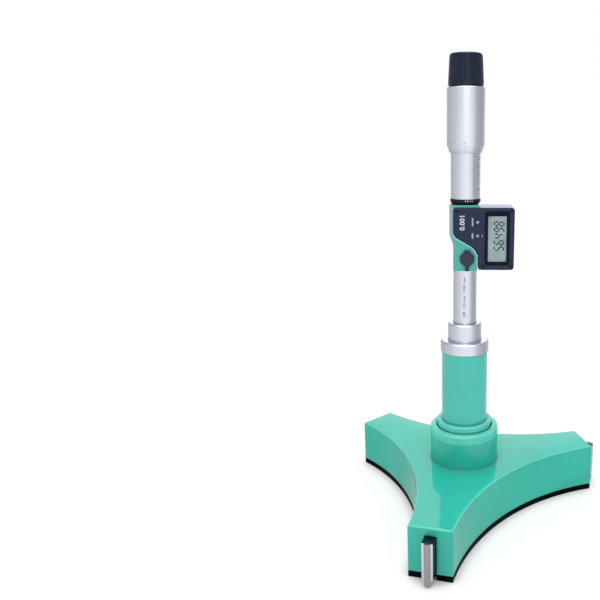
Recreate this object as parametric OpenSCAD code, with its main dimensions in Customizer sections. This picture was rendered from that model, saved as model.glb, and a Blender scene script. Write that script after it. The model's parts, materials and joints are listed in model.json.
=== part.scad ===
/* [Measuring range] */
// Radial travel of each measuring face, from the smallest to the largest bore
radial_travel = 12.5; // [10:0.5:14]
// Radial opening shown, counted from the smallest bore
opening = 8; // [2:0.1:9]
// How far the measuring faces stand proud of the arm ends at the smallest bore
tip_proud = 1; // [0.6:0.1:2]
// Radial travel of a measuring face for each millimetre of cone travel
cone_ratio = 0.5; // [0.45:0.01:0.6]
// Radius of the cone's small end
cone_tip_r = 3.2; // [3:0.1:4]
// Height over which a jaw's wedge face meets the cone
contact_h = 3.7; // [3:0.1:6]

/* [Star head] */
// Radius from the handle axis to the end face of an arm
arm_end_r = 99; // [90:1:120]
// Width of an arm at its end face
arm_end_w = 29; // [26:0.5:36]
// Radius from the handle axis to the narrowest place between two arms
waist_r = 41.4; // [38:0.2:46]
// Angle of the front arm, counter-clockwise from the right-hand side
arm_angle = 257.5; // [240:0.5:280]
// Thickness of the sole plate
plate_t = 4.3; // [4:0.1:6]
// Radius of the rounded top edges of the head
head_edge_r = 1.2; // [0.5:0.1:2]
// Thickness of the head above the jaw channels
channel_roof = 5.7; // [4:0.1:8]
// Diameter of the boss on the head
boss_d = 49.8; // [47:0.2:56]
// Radius of the rounded top edge of the boss
boss_edge_r = 2.2; // [0.6:0.1:2.4]
// Thickness of the web between the cone chamber and the tube
web_t = 3; // [2.5:0.1:5]
// Depth of the lock ring's seat in the boss
ring_seat = 4.1; // [2:0.1:5]

/* [Jaws] */
// Width of a jaw
jaw_w = 7.2; // [6:0.1:9]
// Diameter of a carbide measuring rod
carbide_d = 4.4; // [3.6:0.1:5]
// How far a carbide rod stands proud of its jaw's end face
carbide_proud = 1.5; // [0.8:0.1:1.8]
// Height of a carbide rod's lower end above the surface the sole plate rests on
carbide_lift = 1.2; // [0.3:0.1:2]
// Length of a jaw's return spring
jaw_spring_l = 32; // [28:1:36]
// Outer diameter of a jaw's return spring
jaw_spring_d = 4; // [3.4:0.1:4.4]
// Width of the pocket for the return spring
jaw_pocket_w = 4.6; // [4.5:0.1:4.8]
// Height of the pocket for the return spring
jaw_pocket_h = 9; // [6:0.5:12]

/* [Handle tube] */
// Diameter of the tube
tube_d = 32.8; // [31:0.2:36]
// Length of the tube
tube_l = 61.5; // [58:0.5:80]
// Diameter of the lock ring at the foot of the tube
ring_d = 39.8; // [38:0.2:42]
// Height of the lock ring above the boss
ring_proud = 4.7; // [4:0.1:12]
// Gap around the lock ring in the boss
ring_gap = 0.6; // [0.3:0.1:1]
// Diameter of the metal flange on the tube
flange_d = 34.4; // [33:0.2:38]
// Height of the flange
flange_h = 8; // [6:0.1:12]
// Diameter of the collar above the flange
collar_d = 23.8; // [21:0.2:28]
// Height of the collar
collar_h = 12.6; // [9:0.2:18]
// Diameter of the stem
stem_d = 16.4; // [15.6:0.1:17]
// Length of the stem between the collar and the display housing
stem_l = 39.1; // [34:0.1:60]
// Diameter of the push rod
rod_d = 8; // [7:0.1:8.4]

/* [Display] */
// Height of the display housing
housing_h = 44.7; // [44:0.1:54]
// Half width of the housing on its plain side
housing_left = 10.9; // [10.5:0.1:12]
// Half width of the housing where the display case joins it
housing_right = 9; // [8.9:0.1:9.4]
// Distance from the handle axis to the front of the housing
housing_front = 10.9; // [10.6:0.1:13]
// Distance from the handle axis to the free side of the panel
panel_right = 33.1; // [32:0.1:40]
// Distance from the handle axis to the other side of the panel
panel_left = 8.2; // [7:0.1:9]
// Distance from the top of the panel to the top of the housing
panel_drop = 1.5; // [1:0.1:3]
// Thickness of the panel
panel_t = 1; // [0.9:0.1:1.6]
// Distance from the handle axis to the back of the display case
case_back = 10; // [9.8:0.1:12]
// Wall of the display case
case_wall = 1.4; // [1:0.1:2]
// Width of the display opening
window_w = 12.5; // [10:0.1:13]
// Distance from the display opening to the panel's upper and lower edges
window_margin = 5.7; // [5.2:0.1:8]
// Diameter of a push button
button_d = 4; // [3.4:0.1:4.4]
// Travel of a push button
button_travel = 0.5; // [0.3:0.05:0.5]
// Width of the data socket's plug
plug_d = 10.2; // [9:0.1:10.6]

/* [Micrometer barrel] */
// Diameter of the graduated sleeve
sleeve_d = 20.2; // [19.6:0.1:21]
// Height of the index ring under the sleeve
index_h = 3.6; // [3:0.1:6]
// Length of the sleeve that shows below the thimble
sleeve_shown = 30.4; // [28:0.1:40]
// Diameter of the thimble
thimble_d = 25.5; // [24.6:0.1:28]
// Length of the thimble
thimble_l = 42.2; // [41:0.2:56]
// Length of the thimble's bevel
bevel_l = 5.2; // [4:0.1:8]
// Diameter of the spindle's screw
screw_d = 9.5; // [9:0.1:10]
// Diameter of the spindle below its screw
spindle_d = 6.4; // [6:0.1:6.8]
// Diameter of the ratchet knob at its lower end
knob_d = 23.8; // [22:0.1:25]
// Diameter of the ratchet knob at its upper end
knob_top_d = 21.7; // [20:0.1:23]
// Height of the ratchet knob
knob_h = 20.6; // [19:0.2:26]
// Number of grip ribs on the ratchet knob
knob_ribs = 40; // [24:1:48]
// Number of teeth on the ratchet wheel
ratchet_teeth = 24; // [16:1:30]

/* [Fits] */
// Gap between pieces that pass each other
clear = 0.3; // [0.2:0.05:0.4]
// Radial clearance of a running fit
run_fit = 0.05; // [0.02:0.01:0.08]

/* [Hidden] */
$fn = 64;

green = [0.18, 0.70, 0.60];
navy = [0.15, 0.19, 0.28];
silver = [0.80, 0.81, 0.85];
steel = [0.62, 0.63, 0.66];
bronze = [0.72, 0.55, 0.30];
black = [0.06, 0.06, 0.07];
clear_grey = [0.8, 0.85, 0.85, 0.4];
lcd_grey = [0.62, 0.70, 0.66];
board_green = [0.1, 0.35, 0.2];
carbide_grey = [0.45, 0.44, 0.44];
button_blue = [0.10, 0.16, 0.45];
cut = 1;

// Travel of the cone and of everything that pushes it
axial_travel = radial_travel / cone_ratio;
axial_back = opening / cone_ratio;
axial_ahead = axial_travel - axial_back;

// Levels in the head, upwards from the surface that the sole plate rests on
pocket_floor = 1.3;
cone_low = pocket_floor + clear;
wedge_low = cone_low + axial_travel;
jaw_top = wedge_low + contact_h;
channel_top = jaw_top + clear;
head_top = channel_top + channel_roof;
head_h = head_top - plate_t;
jaw_low = plate_t + clear;
cone_overlap = 3;
cone_l = axial_travel + cone_overlap;
cone_big_r = cone_tip_r + cone_l * cone_ratio;
cone_z = cone_low + axial_ahead;
web_low = wedge_low + cone_l + 2 * clear;
web_top = web_low + web_t;
boss_top = web_top + ring_seat;
chamber_r = cone_big_r + 4 * clear;
pocket_r = cone_tip_r + (plate_t - pocket_floor) * cone_ratio + 2 * clear;

// Radii along an arm
contact_r = arm_end_r + tip_proud + opening;
carbide_r = contact_r - carbide_d / 2;
jaw_end = contact_r - carbide_proud;
wedge_gap = 0.15;
jaw_start = cone_tip_r + wedge_gap + opening;
channel_w = jaw_w + 2 * clear;
post_t = 3;
post_w = jaw_pocket_w - 2 * clear;
post_h = jaw_pocket_h - clear;
post_inset = 21;
post_r = arm_end_r - post_inset;
pocket_in = post_r - jaw_spring_l;
pocket_out = post_r + post_t + opening + 2 * clear;
notch_in = carbide_r - opening - carbide_d / 2 - 2 * clear;

// Concave sides between the arms
half_end = arm_end_w / 2;
side_dist = (arm_end_r * arm_end_r + half_end * half_end - waist_r * waist_r)
    / (2 * (arm_end_r * cos(60) + half_end * sin(60) - waist_r));
side_r = side_dist - waist_r;

// Screws under the sole plate
sole_screw_d = 4;
sole_head_d = 7.6;
sole_screw_l = 14;
sole_fit = 0.05;
arm_screw_inset = 9;
arm_screw_r = arm_end_r - arm_screw_inset;
arm_screw_y = (channel_w / 2 + half_end) / 2;
waist_screw_r = (waist_r + chamber_r) / 2;

// Levels in the handle
ring_top = boss_top + ring_proud;
tube_wall = 3.8;
tube_bore_r = tube_d / 2 - tube_wall;
tube_top = web_top + tube_l;
flange_top = tube_top + flange_h;
flange_spigot_l = 3.5;
collar_top = flange_top + collar_h;
housing_z = collar_top + stem_l;
housing_top = housing_z + housing_h;
stem_foot = tube_top - flange_spigot_l;
stem_spigot_l = 8;
stem_wall = 2.2;
stem_spigot_r = stem_d / 2 - stem_wall;
rod_gap = 0.6;
stem_bore_r = rod_d / 2 + rod_gap;
bush_r = stem_spigot_r;
bush_l = 21;
seat_fit = 0.02;
lower_bush_r = 8.5;
lower_bush_l = 14;
lower_bush_top = web_top + lower_bush_l;
bush_flange_t = 3;

// Spring that lifts the push rod
lift_collar_t = 4;
lift_collar_r = 9.5;
lift_collar_top = stem_foot - 2 * clear - axial_back;
lift_spring_low = lower_bush_top;
lift_spring_l = lift_collar_top - lift_collar_t - lift_spring_low;
lift_spring_r = 7;
lift_wire_r = 0.6;
lift_turns = 7;
lift_steps = 16;
lift_sides = 6;
fine_steps = 10;
fine_sides = 5;

// Levels in the barrel
sleeve_z = housing_top + index_h;
sleeve_r = sleeve_d / 2;
thimble_z = sleeve_z + sleeve_shown;
thimble_top = thimble_z + thimble_l;
thimble_r = thimble_d / 2;
thimble_bore_r = sleeve_r + clear;
thimble_web = 5.8;
thimble_shelf = thimble_top - thimble_web;
sleeve_top = thimble_shelf - axial_ahead - 2 * clear;
screw_gap = 1.75;
sleeve_bore_r = screw_d / 2 + screw_gap;
sleeve_wall = 2.1;
nut_r = sleeve_r - sleeve_wall;
nut_l = 14;
adjust_l = 4.5;
nut_top = sleeve_top - adjust_l;
nut_z = nut_top - nut_l;
housing_wall = 1;
rotor_cavity_r = housing_right - housing_wall;
sleeve_spigot_r = rotor_cavity_r - run_fit;
rotor_drop = 22.2;
rotor_low = housing_top - rotor_drop;
rotor_h = 12;
rotor_hub_r = 5;
stator_gap = 0.4;
stator_bore_r = rotor_hub_r + stator_gap;
stator_rise = 7;
stator_z = rotor_low + stator_rise;
stator_t = 1.2;
disc_rise = 4.5;
disc_z = rotor_low + disc_rise;
disc_t = 1;
sleeve_spigot_z = rotor_low + rotor_h;

// Spindle and what it pushes
spindle_r = spindle_d / 2;
screw_r = screw_d / 2;
screw_runout = 2;
screw_z = nut_z - axial_back - screw_runout;
spindle_reach = 4.5;
spindle_low = housing_z - spindle_reach;
spigot_r = 4;
ball_r = 1.5;
ball_seat = 0.5;
end_play = 0.1;
rod_top = spindle_low - end_play - 2 * ball_r + ball_seat;
rod_spigot_r = 2.5;
rod_spigot_l = 10;
cone_top = cone_z + cone_l;
key_w = 1;
key_play = 0.2;
keyway_w = key_w + key_play;
keyway_depth = 0.8;
keyway_spare = 1;
keyway_low = rotor_low - axial_back - keyway_spare;
keyway_top = sleeve_spigot_z + axial_ahead + keyway_spare;

// Ratchet
knob_z = thimble_top + clear;
knob_top = knob_z + knob_h;
wheel_h = 5;
wheel_r = 7;
tooth_h = 0.8;
wheel_nut_h = 3;
spindle_end = 1;
spindle_top = thimble_top + wheel_h + wheel_nut_h + spindle_end;
cavity_gap = 1.4;
knob_cavity_r = wheel_r + cavity_gap;
knob_cavity_top = spindle_top + cavity_gap;
shoulder_r = 2.5;
screw_head_r = 4.2;
screw_head_t = 2.2;
screw_head_sunk = 1;
screw_head_z = knob_top - screw_head_t - screw_head_sunk;
knob_thread_r = 1.5;
pawl_r = 1;
pawl_z = thimble_top + wheel_h / 2 + clear;
pawl_gap = 0.25;
pawl_l = 2.35;
pawl_tip = wheel_r + pawl_gap;
pawl_back = pawl_tip + pawl_l;
knob_skin = 0.9;
pawl_bore_end = knob_d / 2 - knob_skin;
rib_r = 0.42;
knob_thread_l = 8;

// Panel and display
panel_inset = 0.8;
panel_z = housing_z + panel_inset;
panel_h = housing_h - panel_inset - panel_drop;
panel_top = panel_z + panel_h;
panel_front = housing_front + panel_t;
panel_corner = 2.2;
lobe_r = 11;
shoulder_arc = 6;
edge_slope = 60;
shoulder_part = 0.632;
shoulder_z = panel_z + shoulder_part * panel_h;
slant_h = 7;
slant_drop = 2.6;
slant_top = shoulder_z - slant_drop;
slant_low = slant_top - slant_h;
panel_lap = 0.2;
case_left = housing_right;
case_front = housing_front;
window_inset = 6.3;
window_x = case_left + window_inset;
window_z = panel_z + window_margin;
window_h = panel_h - 2 * window_margin;
frame_margin_x = 2.2;
frame_margin_low = 2.6;
frame_margin_top = 3.4;
frame_depth = 0.5;
pane_t = 0.4;
lcd_margin = 1;
lcd_t = 1.15;
board_t = 0.8;
board_gap = 1.3;
board_front = housing_front - board_gap;
board_inset = 5.2;
button_x = 8.2;
button_drops = [9.6, 18.9];
button_zs = [for (d = button_drops) panel_top - d];
button_proud = 0.5;
button_fit = 0.1;
button_flange = 0.5;
button_flange_t = 0.25;
switch_r = 1.2;
switch_pocket_x = 5.2;
switch_pocket_h = 16.5;
switch_pocket_drop = 21.9;
switch_pocket_z = panel_top - switch_pocket_drop;
panel_screw_r = 0.7;
panel_screw_head_r = 1.1;
panel_screw_l = 3.2;
screw_boss_wall = 1.1;
screw_inset = 2.2;
screw_drop = 2.4;
screw_rise = 2.4;
panel_screw_xz = [
    [screw_inset - panel_left, panel_top - screw_drop],
    [panel_right - screw_inset, panel_top - screw_drop],
    [panel_right - screw_inset, panel_z + screw_rise],
    [case_left + screw_inset + screw_boss_wall, panel_z + screw_rise]
];
battery_r = 5.8;
battery_t = 5.4;
cup_wall = 1.2;
cap_t = 1.6;
battery_xz = [(case_left + panel_right) / 2, panel_z + panel_h / 2];
battery_back = case_back - cap_t - sole_fit;
cup_floor = battery_back - battery_t - sole_fit;
plug_x = 1.3;
plug_drop = 19.3;
plug_z = shoulder_z - plug_drop;
plug_t = 1.5;
plug_gap = 0.1;
plug_spigot_r = 3;
plug_spigot_l = 2.6;
plug_tab_w = 2.4;

// Turns its children so that +X points along arm number i
module along_arm(i) {
    rotate([0, 0, arm_angle + 120 * i]) children();
}

// Star with flat arm ends, cut to width by the concave sides between the arms
module star_prism(h) {
    wide = half_end + cut;
    corners = [for (i = [0:2], s = [-1, 1])
        let (a = arm_angle + 120 * i)
        [arm_end_r * cos(a) - s * wide * sin(a), arm_end_r * sin(a) + s * wide * cos(a)]];
    difference() {
        linear_extrude(h) polygon(corners);
        for (i = [0:2]) {
            along_arm(i + 0.5) translate([side_dist, 0, -cut])
                cylinder(h = h + 2 * cut, r = side_r, $fn = 180);
        }
    }
}

// Ring-shaped cutter that rounds the outer edge of a disc of radius r whose top is at z = 0
module round_over(r, edge) {
    rotate_extrude($fn = 120) difference() {
        translate([r - edge, -edge]) square([edge + cut, edge + cut]);
        translate([r - edge, -edge]) circle(r = edge);
    }
}

// Cutter that rounds the top edge along a concave side of radius r, with the top at z = 0
module round_over_concave(r, edge) {
    rotate_extrude($fn = 180) difference() {
        translate([r - cut, -edge]) square([edge + cut, edge + cut]);
        translate([r + edge, -edge]) circle(r = edge);
    }
}

// Straight cutter along Y that rounds the top edge of an end face at x = 0, with the top at z = 0
module round_over_end(w, edge) {
    rotate([90, 0, 0]) translate([0, 0, -w / 2]) linear_extrude(w) difference() {
        translate([-edge, -edge]) square([edge + cut, edge + cut]);
        translate([-edge, -edge]) circle(r = edge);
    }
}

// Plain tube between two levels
module pipe(z0, z1, ro, ri) {
    translate([0, 0, z0]) difference() {
        cylinder(h = z1 - z0, r = ro);
        translate([0, 0, -cut]) cylinder(h = z1 - z0 + 2 * cut, r = ri);
    }
}

// Coil spring along Z with closed flat ends, as one swept solid
module coil(r, wire, l, turns, steps, sides) {
    n = turns * steps;
    points = [for (k = [0:n], j = [0:sides - 1])
        let (a = 360 * k / steps, b = 360 * j / sides, rr = r + wire * cos(b))
        [rr * cos(a), rr * sin(a), wire + (l - 2 * wire) * k / n + wire * sin(b)]];
    walls = [for (k = [0:n - 1], j = [0:sides - 1], half = [0, 1])
        let (p = k * sides + j, q = k * sides + (j + 1) % sides)
        half == 0 ? [p, q, q + sides] : [p, q + sides, p + sides]];
    first = [for (j = [0:sides - 1]) sides - 1 - j];
    last = [for (j = [0:sides - 1]) n * sides + j];
    polyhedron(points, concat(walls, [first, last]));
}

// Flat shape in the XZ plane, given thickness backwards from y = front
module slab(front, t) {
    translate([0, front + t, 0]) rotate([90, 0, 0]) linear_extrude(t) children();
}

// Rectangle with rounded corners
module rounded(x0, z0, x1, z1, r) {
    translate([x0 + r, z0]) square([x1 - x0 - 2 * r, z1 - z0]);
    translate([x0, z0 + r]) square([x1 - x0, z1 - z0 - 2 * r]);
    for (x = [x0 + r, x1 - r], z = [z0 + r, z1 - r]) translate([x, z]) circle(r = r);
}

// Places of the screws that hold the sole plate
module sole_screw_places() {
    for (i = [0:2]) {
        along_arm(i) for (s = [-1, 1]) translate([arm_screw_r, s * arm_screw_y, 0]) children();
        along_arm(i + 0.5) translate([waist_screw_r, 0, 0]) children();
    }
}

// Countersunk screw pointing up from z = 0
module sole_screw(grow) {
    head_t = (sole_head_d - sole_screw_d) / 2;
    cylinder(h = head_t, r1 = sole_head_d / 2 + grow, r2 = sole_screw_d / 2 + grow);
    cylinder(h = sole_screw_l + grow, r = sole_screw_d / 2 + grow);
}

module head_body() {
    color(green) difference() {
        union() {
            translate([0, 0, plate_t]) difference() {
                star_prism(head_h);
                for (i = [0:2]) {
                    along_arm(i + 0.5) translate([side_dist, 0, head_h])
                        round_over_concave(side_r, head_edge_r);
                    along_arm(i) translate([arm_end_r, 0, head_h])
                        round_over_end(arm_end_w * 2, head_edge_r);
                }
            }
            translate([0, 0, head_top - cut]) difference() {
                cylinder(h = boss_top - head_top + cut, r = boss_d / 2, $fn = 120);
                translate([0, 0, boss_top - head_top + cut]) round_over(boss_d / 2, boss_edge_r);
            }
        }
        translate([0, 0, plate_t - cut]) cylinder(h = web_low - plate_t + cut, r = chamber_r);
        translate([0, 0, web_low - cut]) cylinder(h = web_t + 2 * cut, r = lower_bush_r + seat_fit);
        translate([0, 0, web_top]) cylinder(h = ring_seat + cut, r = ring_d / 2 + ring_gap);
        for (i = [0:2]) along_arm(i) translate([0, -channel_w / 2, plate_t - cut])
            cube([arm_end_r + cut, channel_w, channel_top - plate_t + cut]);
        sole_screw_places() sole_screw(sole_fit);
    }
}

module base_plate() {
    color(black) difference() {
        star_prism(plate_t);
        translate([0, 0, pocket_floor]) cylinder(h = plate_t, r = pocket_r);
        for (i = [0:2]) along_arm(i) translate([notch_in, -channel_w / 2, -cut])
            cube([arm_end_r, channel_w, plate_t + 2 * cut]);
        sole_screw_places() sole_screw(sole_fit);
    }
}

module base_screws() {
    socket_d = 2.6;
    socket_depth = 1.6;
    color(steel) sole_screw_places() difference() {
        sole_screw(0);
        translate([0, 0, -cut]) cylinder(h = socket_depth + cut, d = socket_d, $fn = 6);
    }
}

module spring_posts() {
    color(steel) for (i = [0:2]) along_arm(i) translate([post_r, -post_w / 2, plate_t])
        cube([post_t, post_w, post_h]);
}

module lock_ring() {
    edge = 1.4;
    color(green) difference() {
        pipe(web_top, ring_top, ring_d / 2, tube_d / 2 + seat_fit);
        translate([0, 0, ring_top]) round_over(ring_d / 2, edge);
    }
}

module extension_tube() {
    color(green) pipe(web_top, tube_top, tube_d / 2, tube_bore_r);
}

module lower_bush() {
    color(bronze) difference() {
        union() {
            translate([0, 0, web_low]) cylinder(h = lower_bush_top - web_low, r = lower_bush_r);
            translate([0, 0, web_top]) cylinder(h = bush_flange_t, r = tube_bore_r - seat_fit);
        }
        translate([0, 0, web_low - cut])
            cylinder(h = lower_bush_top - web_low + 2 * cut, r = rod_d / 2 + run_fit);
    }
}

module return_spring() {
    color(steel) translate([0, 0, lift_spring_low])
        coil(lift_spring_r, lift_wire_r, lift_spring_l, lift_turns, lift_steps, lift_sides);
}

module tube_flange() {
    edge = 0.9;
    color(silver) difference() {
        union() {
            translate([0, 0, tube_top]) cylinder(h = flange_h - edge, r = flange_d / 2);
            translate([0, 0, flange_top - edge])
                cylinder(h = edge, r1 = flange_d / 2, r2 = flange_d / 2 - edge);
            translate([0, 0, stem_foot]) cylinder(h = flange_spigot_l + cut, r = tube_bore_r - seat_fit);
        }
        translate([0, 0, stem_foot - cut])
            cylinder(h = flange_top - stem_foot + 2 * cut, r = stem_d / 2 + seat_fit);
    }
}

module stem_collar() {
    edge = 0.8;
    color(silver) difference() {
        union() {
            translate([0, 0, flange_top]) cylinder(h = collar_h - edge, r = collar_d / 2);
            translate([0, 0, collar_top - edge])
                cylinder(h = edge, r1 = collar_d / 2, r2 = collar_d / 2 - edge);
        }
        translate([0, 0, flange_top - cut])
            cylinder(h = collar_h + 2 * cut, r = stem_d / 2 + seat_fit);
    }
}

module stem() {
    color(silver) difference() {
        union() {
            translate([0, 0, stem_foot]) cylinder(h = housing_z - stem_foot, r = stem_d / 2);
            translate([0, 0, housing_z - cut]) cylinder(h = stem_spigot_l + cut, r = stem_spigot_r);
        }
        translate([0, 0, stem_foot - cut])
            cylinder(h = housing_z + stem_spigot_l - stem_foot + 2 * cut, r = stem_bore_r);
        translate([0, 0, stem_foot - cut]) cylinder(h = bush_l + cut, r = bush_r + seat_fit);
    }
}

module upper_bush() {
    color(bronze) pipe(stem_foot, stem_foot + bush_l, bush_r, rod_d / 2 + run_fit);
}

// Outline of the panel in the XZ plane, with its round lobe around the data socket
module panel_outline() {
    xr = housing_right - panel_lap;
    arc_c = [shoulder_arc - panel_left, shoulder_z];
    from = arc_c - shoulder_arc * [cos(edge_slope), sin(edge_slope)];
    to_x = xr - lobe_r * (1 - cos(edge_slope));
    to = [to_x, from[1] - (to_x - from[0]) / tan(edge_slope)];
    lobe_c = [xr - lobe_r, to[1] - lobe_r * sin(edge_slope)];
    rounded(xr, panel_z, panel_right, panel_top, panel_corner);
    rounded(-panel_left, shoulder_z - panel_corner, panel_right, panel_top, panel_corner);
    translate(arc_c) circle(r = shoulder_arc);
    polygon([from, to, [xr + panel_corner, to[1]], [xr + panel_corner, shoulder_z], arc_c]);
    difference() {
        translate([to[0], lobe_c[1]]) square([xr + panel_corner - to[0], to[1] - lobe_c[1]]);
        translate(lobe_c) circle(r = lobe_r);
    }
}

module display_housing() {
    side_corner = 3;
    front_right = housing_right + side_corner;
    stem_r = stem_d / 2;
    color(green) difference() {
        intersection() {
            translate([0, 0, housing_z]) union() {
                cylinder(h = housing_h, r = housing_left);
                linear_extrude(housing_h)
                    rounded(-housing_left, -housing_front, front_right, side_corner, side_corner);
            }
            slab(-housing_front - cut, housing_front + housing_left + 2 * cut) polygon([
                [-stem_r, housing_z], [stem_r, housing_z], [stem_r, slant_low], [housing_right, slant_low],
                [housing_right, housing_top], [-housing_left, housing_top],
                [-housing_left, slant_top], [-stem_r, slant_low]
            ]);
        }
        translate([0, 0, housing_z - cut]) cylinder(h = stem_spigot_l + cut, r = stem_spigot_r + seat_fit);
        translate([0, 0, housing_z]) cylinder(h = housing_h, r = stem_bore_r);
        translate([0, 0, rotor_low]) cylinder(h = housing_h, r = rotor_cavity_r);
        translate([switch_pocket_x, -housing_front - cut, switch_pocket_z])
            cube([housing_right, housing_front - board_front + board_t + clear + cut, switch_pocket_h]);
        translate([plug_x, -housing_front - cut, plug_z]) rotate([-90, 0, 0])
            cylinder(h = plug_spigot_l + clear + cut, r = plug_spigot_r + plug_gap);
        panel_screw_places() panel_screw(sole_fit);
    }
}

module display_case() {
    corner = panel_corner;
    depth = case_front + case_back;
    inner = [case_left + case_wall, panel_z + case_wall, panel_right - case_wall, panel_top - case_wall];
    cup_low = cup_floor - cup_wall;
    color(silver) difference() {
        union() {
            difference() {
                slab(-case_front, depth) difference() {
                    rounded(case_left - corner, panel_z, panel_right, panel_top, corner);
                    translate([case_left - 2 * corner, panel_z - cut])
                        square([2 * corner, panel_h + 2 * cut]);
                }
                slab(-case_front - cut, depth - case_wall + cut)
                    rounded(inner[0], inner[1], inner[2], inner[3], corner - case_wall / 2);
            }
            translate([battery_xz[0], cup_low, battery_xz[1]]) rotate([-90, 0, 0])
                cylinder(h = case_back - cup_low - case_wall / 2, r = battery_r + sole_fit + cup_wall);
            slab(-case_front, depth - case_wall / 2) panel_screw_bosses();
        }
        translate([battery_xz[0], cup_floor, battery_xz[1]]) rotate([-90, 0, 0]) {
            cylinder(h = depth, r = battery_r + sole_fit);
            translate([0, 0, battery_t + 2 * sole_fit]) cylinder(h = depth, r = battery_r + cup_wall);
        }
        translate([case_left - cut, -case_front - cut, switch_pocket_z])
            cube([case_wall + 2 * cut, case_front - board_front + board_t + clear + cut, switch_pocket_h]);
        panel_screw_places() panel_screw(sole_fit);
    }
}

// Places of the screws that hold the panel, at its front face and pointing backwards
module panel_screw_places() {
    for (p = panel_screw_xz) translate([p[0], -panel_front, p[1]]) rotate([-90, 0, 0]) children();
}

// Panel screw pointing along Z, or the larger cutter for its hole where grow is not zero
module panel_screw(grow) {
    sunk = 0.1;
    head_t = 0.5;
    start = grow > 0 ? -cut : sunk;
    translate([0, 0, start]) cylinder(h = sunk + head_t - start, r = panel_screw_head_r + grow);
    translate([0, 0, sunk]) cylinder(h = panel_screw_l + grow, r = panel_screw_r + grow);
}

module panel_screw_bosses() {
    for (p = panel_screw_xz) if (p[0] > case_left) translate(p) circle(r = panel_screw_r + screw_boss_wall);
}

// Recess around the display opening
module window_recess(shrink) {
    rounded(
        window_x - frame_margin_x + shrink, window_z - frame_margin_low + shrink,
        window_x + window_w + frame_margin_x - shrink, window_z + window_h + frame_margin_top - shrink,
        panel_corner - shrink
    );
}

module front_panel() {
    color(navy) difference() {
        slab(-panel_front, panel_t) panel_outline();
        slab(-panel_front - cut, frame_depth + cut) window_recess(0);
        slab(-panel_front - cut, panel_t + 2 * cut)
            translate([window_x, window_z]) square([window_w, window_h]);
        for (z = button_zs) translate([button_x, -panel_front - cut, z]) rotate([-90, 0, 0])
            cylinder(h = panel_t + 2 * cut, r = button_d / 2 + button_fit);
        panel_screw_places() panel_screw(sole_fit);
    }
}

module panel_screws() {
    slot_w = 0.35;
    slot_depth = 0.3;
    color(steel) panel_screw_places() difference() {
        panel_screw(0);
        translate([-cut * 2, -slot_w / 2, 0]) cube([cut * 4, slot_w, slot_depth]);
    }
}

module lcd_window() {
    color(clear_grey) slab(-panel_front + frame_depth - pane_t, pane_t) window_recess(sole_fit);
}

module lcd_module() {
    color(lcd_grey) slab(-housing_front, lcd_t)
        translate([window_x - lcd_margin, window_z - lcd_margin])
        square([window_w + 2 * lcd_margin, window_h + 2 * lcd_margin]);
}

module circuit_board() {
    x0 = case_left + case_wall + clear;
    x1 = panel_right - case_wall - clear;
    z0 = panel_z + board_inset;
    z1 = panel_top - board_inset;
    tab_x = switch_pocket_x + clear;
    tab_z = switch_pocket_z + clear;
    dome_t = board_gap - button_flange_t - button_travel - 3 * sole_fit;
    color(board_green) {
        slab(-board_front, board_t) {
            translate([x0, z0]) square([x1 - x0, z1 - z0]);
            translate([tab_x, tab_z]) square([x0 - tab_x + cut, switch_pocket_h - 2 * clear]);
        }
        for (z = button_zs) translate([button_x, -board_front, z]) rotate([90, 0, 0])
            cylinder(h = dome_t, r = switch_r);
    }
}

module battery() {
    rim = 0.4;
    color(silver) translate([battery_xz[0], battery_back, battery_xz[1]]) rotate([90, 0, 0]) {
        cylinder(h = battery_t - rim, r = battery_r);
        cylinder(h = battery_t, r = battery_r - 2 * rim);
    }
}

module battery_cap() {
    slot_l = 10;
    slot_w = 1.6;
    slot_depth = 0.8;
    cap_r = battery_r + cup_wall - sole_fit;
    color(navy) translate([battery_xz[0], case_back, battery_xz[1]]) rotate([90, 0, 0]) difference() {
        cylinder(h = cap_t - sole_fit, r = cap_r);
        translate([-slot_l / 2, -slot_w / 2, -cut]) cube([slot_l, slot_w, slot_depth + cut]);
    }
}

module encoder_stator() {
    color(board_green) pipe(stator_z, stator_z + stator_t, rotor_cavity_r, stator_bore_r);
}

module encoder_rotor() {
    color(bronze) {
        difference() {
            union() {
                translate([0, 0, rotor_low + clear]) cylinder(h = rotor_h - 2 * clear, r = rotor_hub_r);
                translate([0, 0, disc_z]) cylinder(h = disc_t, r = rotor_cavity_r - clear);
            }
            translate([0, 0, rotor_low]) cylinder(h = rotor_h, r = spindle_r + run_fit);
        }
        translate([spindle_r - keyway_depth + 2 * run_fit, -key_w / 2, rotor_low + clear])
            cube([keyway_depth + cut / 2, key_w, rotor_h - 2 * clear]);
    }
}

module index_ring() {
    foot_inset = 1;
    rim_proud = 0.3;
    slope_h = 1.6;
    foot_r = sleeve_r - foot_inset;
    rim_r = sleeve_r + rim_proud;
    bore = sleeve_spigot_r + seat_fit;
    color(black) rotate_extrude() polygon([
        [bore, housing_top], [foot_r, housing_top], [rim_r, housing_top + slope_h],
        [rim_r, sleeve_z], [bore, sleeve_z]
    ]);
}

module sleeve() {
    color(silver) difference() {
        union() {
            translate([0, 0, sleeve_z]) cylinder(h = sleeve_top - sleeve_z, r = sleeve_r);
            translate([0, 0, sleeve_spigot_z])
                cylinder(h = sleeve_z - sleeve_spigot_z + cut, r = sleeve_spigot_r);
        }
        translate([0, 0, sleeve_spigot_z - cut])
            cylinder(h = sleeve_top - sleeve_spigot_z + 2 * cut, r = sleeve_bore_r);
        translate([0, 0, nut_z]) cylinder(h = sleeve_top - nut_z + cut, r = nut_r + seat_fit);
    }
}

module spindle_nut() {
    color(bronze) pipe(nut_z, nut_top, nut_r, screw_r + run_fit);
}

module adjusting_nut() {
    color(steel) pipe(nut_top, sleeve_top, nut_r - clear, screw_r + clear);
}

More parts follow.
